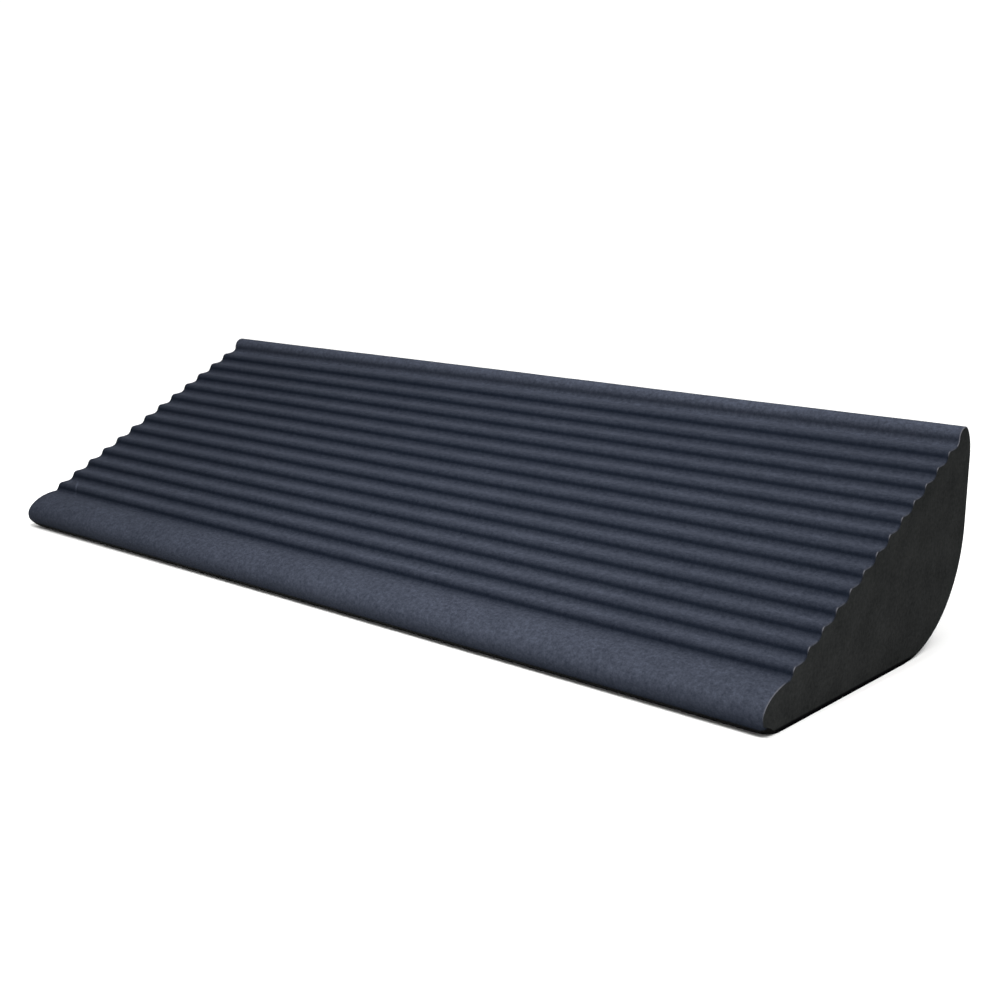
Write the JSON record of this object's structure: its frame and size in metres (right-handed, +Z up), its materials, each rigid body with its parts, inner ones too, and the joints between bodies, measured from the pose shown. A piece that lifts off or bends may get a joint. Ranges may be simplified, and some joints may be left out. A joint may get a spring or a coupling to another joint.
{
  "type": "slant board",
  "caption": "Firm foam wedge with a ribbed, embossed cover skin, a tall rounded ridge, a thin round nose and a non-slip base sheet.",
  "frame": {"origin": "on the floor, in the middle of the footprint", "axes": "X runs along the board between its end faces, -Y is the thin nose, +Y is the tall back, +Z is up"},
  "size_m": [0.42, 0.145, 0.0832],
  "materials": {
    "core_foam": "matt cut closed-cell foam",
    "cover_skin": "matt, fine leather-like embossed grain",
    "base_rubber": "matt, fine grip texture"
  },
  "bodies": {
    "root": {"foam_core": "core_foam", "ribbed_cover_skin": "cover_skin", "non_slip_base": "base_rubber"}
  },
  "joints": []
}
